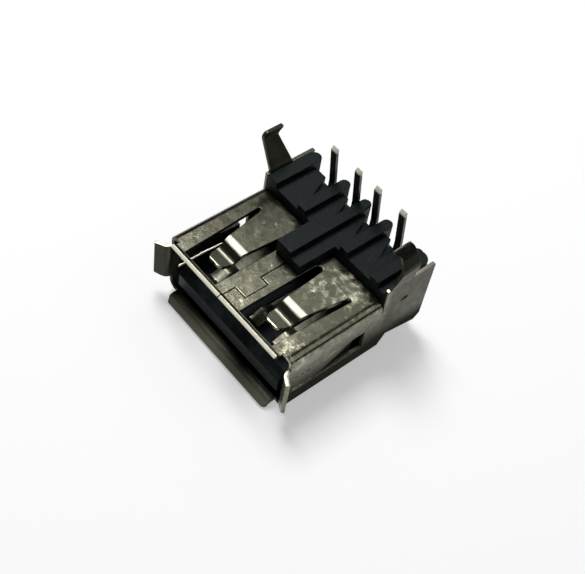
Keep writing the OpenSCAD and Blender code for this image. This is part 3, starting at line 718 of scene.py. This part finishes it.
def round_edges(node, radius, cut_width):
    """Rounds a CAD node's edges with modifiers, worked out in millimetres, and shades it smooth."""
    add_nodes(node, "Millimetres", enlarge_group())
    if cut_width:
        add_nodes(node, "CAD faces", measure_faces_group())
    weld = node.modifiers.new("Join faces", "WELD")
    weld.merge_threshold = WELD_MM
    if cut_width:
        add_nodes(node, "Cut edges", cut_edges_group(cut_width / MM))
    bevel = node.modifiers.new("Round edges", "BEVEL")
    bevel.width = radius / MM
    bevel.segments = 3
    bevel.limit_method = "WEIGHT" if cut_width else "ANGLE"
    bevel.angle_limit = ROUND_ANGLE
    bevel.use_clamp_overlap = False
    add_nodes(node, "Hold to CAD", hold_group(STRAY_SHARE * radius / MM))
    flats = node.modifiers.new("Join flats", "DECIMATE")
    flats.decimate_type = "DISSOLVE"
    flats.angle_limit = FLAT_ANGLE
    add_nodes(node, "Metres", shrink_group())
    normals = node.modifiers.new("Flat faces", "WEIGHTED_NORMAL")
    normals.keep_sharp = True
    normals.weight = 80


def dress(node, material, radius, cut_width=None):
    """Gives a CAD node its material and its rounded edges, and marks the cut edges of a sheet."""
    node.data.materials.clear()
    node.data.materials.append(material)
    round_edges(node, radius, cut_width)


class SOCKET_OT_dress_shell(Operator):
    """Gives the folded shell its plating and rounded edges"""

    bl_idname = "socket.dress_shell"
    bl_label = "Dress Shell"

    def execute(self, context):
        finish = context.scene.socket_shell
        dress(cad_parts["shell"], plated_sheet(finish), finish.edge, finish.cut_width)
        return {"FINISHED"}


class SOCKET_OT_dress_insulator(Operator):
    """Gives the insulator its moulded plastic and rounded edges"""

    bl_idname = "socket.dress_insulator"
    bl_label = "Dress Insulator"

    def execute(self, context):
        finish = context.scene.socket_insulator
        dress(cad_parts["insulator"], moulded_plastic(finish), finish.edge)
        return {"FINISHED"}


class SOCKET_OT_dress_contacts(Operator):
    """Gives the stamped contacts their plating and rounded edges"""

    bl_idname = "socket.dress_contacts"
    bl_label = "Dress Contacts"

    def execute(self, context):
        finish = context.scene.socket_contact
        contacts = [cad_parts[name] for name in CONTACT_NODES]
        tip_height = max(corner[2] for corner in contacts[0].bound_box)
        material = plated_contact(finish, tip_height)
        for contact in contacts:
            dress(contact, material, finish.edge)
        return {"FINISHED"}


def build_floor(stage):
    """Pale floor under the socket, white to the camera and in reflections, with its shadow."""
    low = cad_box[0].z
    half = stage.floor_size / 2
    mesh = bpy.data.meshes.new("Floor")
    corners = [(-half, -half, low), (half, -half, low), (half, half, low), (-half, half, low)]
    mesh.from_pydata(corners, [], [(0, 1, 2, 3)])
    floor = bpy.data.objects.new("Floor", mesh)
    bpy.context.scene.collection.objects.link(floor)
    material, tree, shader = new_material("Pale floor")
    rays = add(tree, "ShaderNodeLightPath").outputs
    seen = either(tree, rays["Is Camera Ray"], rays["Is Glossy Ray"], rays["Is Transmission Ray"])
    fill(tree, shader, {
        "Base Color": rgba(stage.floor),
        "Roughness": 0.9,
        "Specular IOR Level": 0.0,
        "Emission Color": (1.0, 1.0, 1.0, 1.0),
        "Emission Strength": calculate(tree, "MULTIPLY", seen, stage.floor_glow),
    })
    floor.data.materials.append(material)


def aim_lamp(name, towards, away, size, face):
    """Soft lamp that stands off in a direction and shines at the socket; face is its brightness."""
    centre = (cad_box[0] + cad_box[1]) / 2
    data = bpy.data.lights.new(name, "AREA")
    data.shape = "RECTANGLE"
    data.size, data.size_y = size
    data.energy = face * math.pi * data.size * data.size_y
    lamp = bpy.data.objects.new(name, data)
    direction = Vector(towards).normalized()
    lamp.location = centre + direction * away
    lamp.rotation_mode = "QUATERNION"
    lamp.rotation_quaternion = direction.to_track_quat("Z", "Y")
    bpy.context.scene.collection.objects.link(lamp)


def build_world(stage):
    """Dim, even surroundings."""
    world = bpy.data.worlds.new("Surroundings")
    world.use_nodes = True
    tree = world.node_tree
    tree.nodes.clear()
    background = add(tree, "ShaderNodeBackground", {"Color": rgba(stage.sky), "Strength": 1.0})
    add(tree, "ShaderNodeOutputWorld", {"Surface": background.outputs["Background"]})
    bpy.context.scene.world = world


def build_camera():
    """Camera at the photograph's angle, with no shift."""
    azimuth, elevation, roll = (math.radians(angle) for angle in (AZIMUTH, ELEVATION, ROLL))
    back = Vector((math.sin(azimuth) * math.cos(elevation),
                   -math.cos(azimuth) * math.cos(elevation), math.sin(elevation)))
    right = Vector((0, 0, 1)).cross(back).normalized()
    up = back.cross(right)
    right, up = (math.cos(roll) * right + math.sin(roll) * up,
                 math.cos(roll) * up - math.sin(roll) * right)
    data = bpy.data.cameras.new("Camera")
    data.sensor_width = SENSOR_WIDTH_MM
    data.lens = SENSOR_WIDTH_MM * FOCAL_PX / IMAGE_WIDTH_PX
    data.clip_start = MM
    camera = bpy.data.objects.new("Camera", data)
    turn = Matrix((right, up, back)).transposed().to_4x4()
    camera.matrix_world = Matrix.Translation(CAMERA_PLACE) @ turn
    bpy.context.scene.collection.objects.link(camera)
    bpy.context.scene.camera = camera


class SOCKET_OT_build_stage(Operator):
    """Sets the floor, the lamps, the surroundings and the camera"""

    bl_idname = "socket.build_stage"
    bl_label = "Build Stage"

    def execute(self, context):
        stage = context.scene.socket_stage
        context.scene.view_settings.view_transform = "Standard"
        build_floor(stage)
        for setting, lamp in LAMPS.items():
            aim_lamp(*lamp, getattr(stage, setting))
        build_world(stage)
        build_camera()
        return {"FINISHED"}


class SOCKET_PT_looks(Panel):
    """Finishes and stage of the socket"""

    bl_label = "Socket"
    bl_idname = "SOCKET_PT_looks"
    bl_space_type = "VIEW_3D"
    bl_region_type = "UI"
    bl_category = "Socket"

    def draw(self, context):
        scene = context.scene
        for settings, operator in (
            (scene.socket_shell, SOCKET_OT_dress_shell),
            (scene.socket_insulator, SOCKET_OT_dress_insulator),
            (scene.socket_contact, SOCKET_OT_dress_contacts),
            (scene.socket_stage, SOCKET_OT_build_stage),
        ):
            box = self.layout.box()
            for name in settings.__annotations__:
                box.prop(settings, name)
            box.operator(operator.bl_idname)


CLASSES = (
    SocketShellFinish,
    SocketInsulatorFinish,
    SocketContactFinish,
    SocketStage,
    SOCKET_OT_dress_shell,
    SOCKET_OT_dress_insulator,
    SOCKET_OT_dress_contacts,
    SOCKET_OT_build_stage,
    SOCKET_PT_looks,
)

SETTINGS = {
    "socket_shell": SocketShellFinish,
    "socket_insulator": SocketInsulatorFinish,
    "socket_contact": SocketContactFinish,
    "socket_stage": SocketStage,
}


def register():
    """Registers the classes and gives the scene its settings."""
    for cls in CLASSES:
        bpy.utils.register_class(cls)
    for name, cls in SETTINGS.items():
        setattr(bpy.types.Scene, name, PointerProperty(type=cls))


def unregister():
    """Takes the settings and the classes away again."""
    for name in SETTINGS:
        delattr(bpy.types.Scene, name)
    for cls in reversed(CLASSES):
        bpy.utils.unregister_class(cls)


def main():
    """Dresses the socket and sets the stage."""
    register()
    bpy.ops.socket.dress_shell()
    bpy.ops.socket.dress_insulator()
    bpy.ops.socket.dress_contacts()
    bpy.ops.socket.build_stage()


if __name__ == "__main__":
    main()
